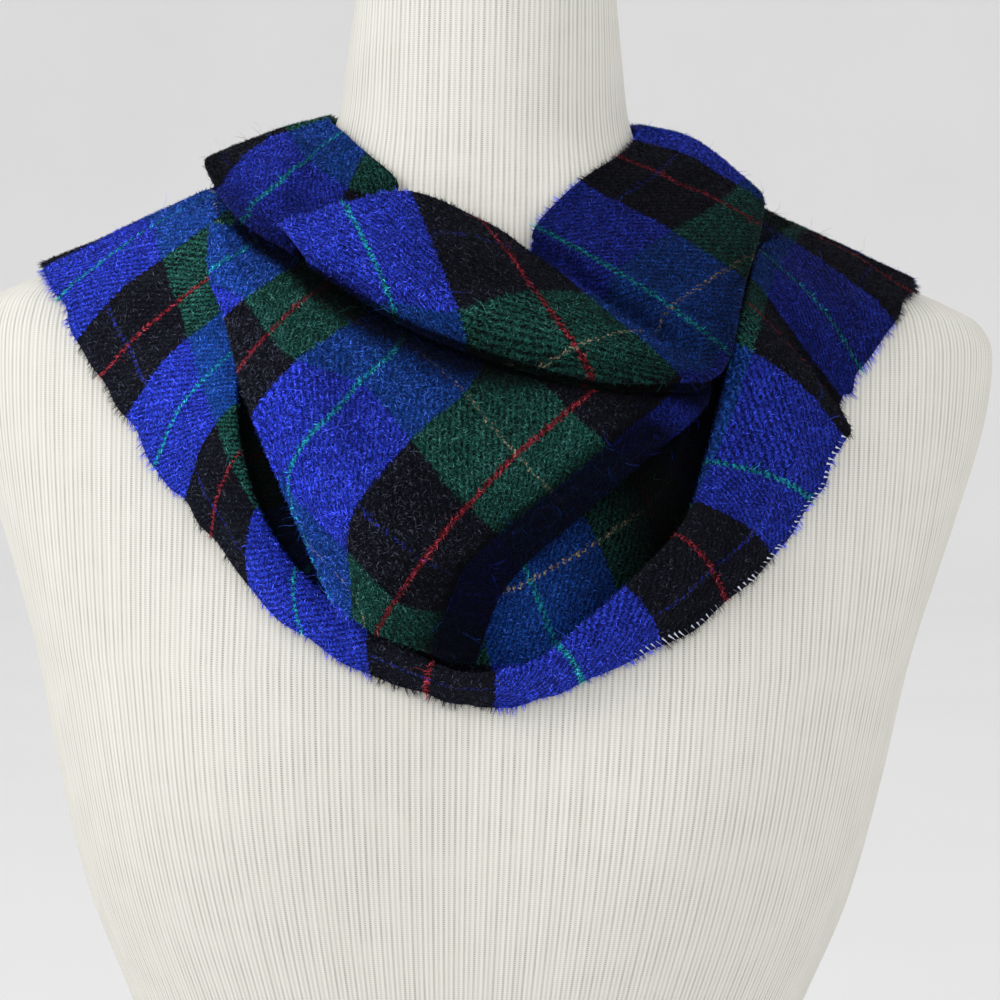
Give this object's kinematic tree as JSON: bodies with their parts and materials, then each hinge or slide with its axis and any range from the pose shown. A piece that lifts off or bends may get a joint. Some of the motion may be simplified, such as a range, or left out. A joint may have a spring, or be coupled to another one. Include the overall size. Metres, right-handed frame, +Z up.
{
  "type": "plaid scarf on a dress form",
  "caption": "Brushed wool plaid scarf with raw frayed edges, wound twice round the neck of a limbless ribbed-knit dress form that holds it up.",
  "frame": {"origin": "centre of the dress form's flat underside", "axes": "+Z up the form to its neck, -Y the way its chest faces, +X to the right of someone who looks at its front"},
  "size_m": [0.408, 0.2518, 0.722],
  "materials": {
    "royal_wool": "brushed wool plaid, royal blue, azure, green and charcoal with red, teal and beige lines",
    "azure_wool": "brushed wool plaid, royal blue, azure, green and charcoal with red, teal and beige lines",
    "charcoal_wool": "brushed wool plaid, royal blue, azure, green and charcoal with red, teal and beige lines",
    "ribbed_cover": "off-white ribbed knit cover, matt"
  },
  "bodies": {
    "root": {"shoulder_wrap": "royal_wool", "neck_wrap": "azure_wool", "front_drape": "charcoal_wool", "dress_form": "ribbed_cover"}
  },
  "joints": []
}
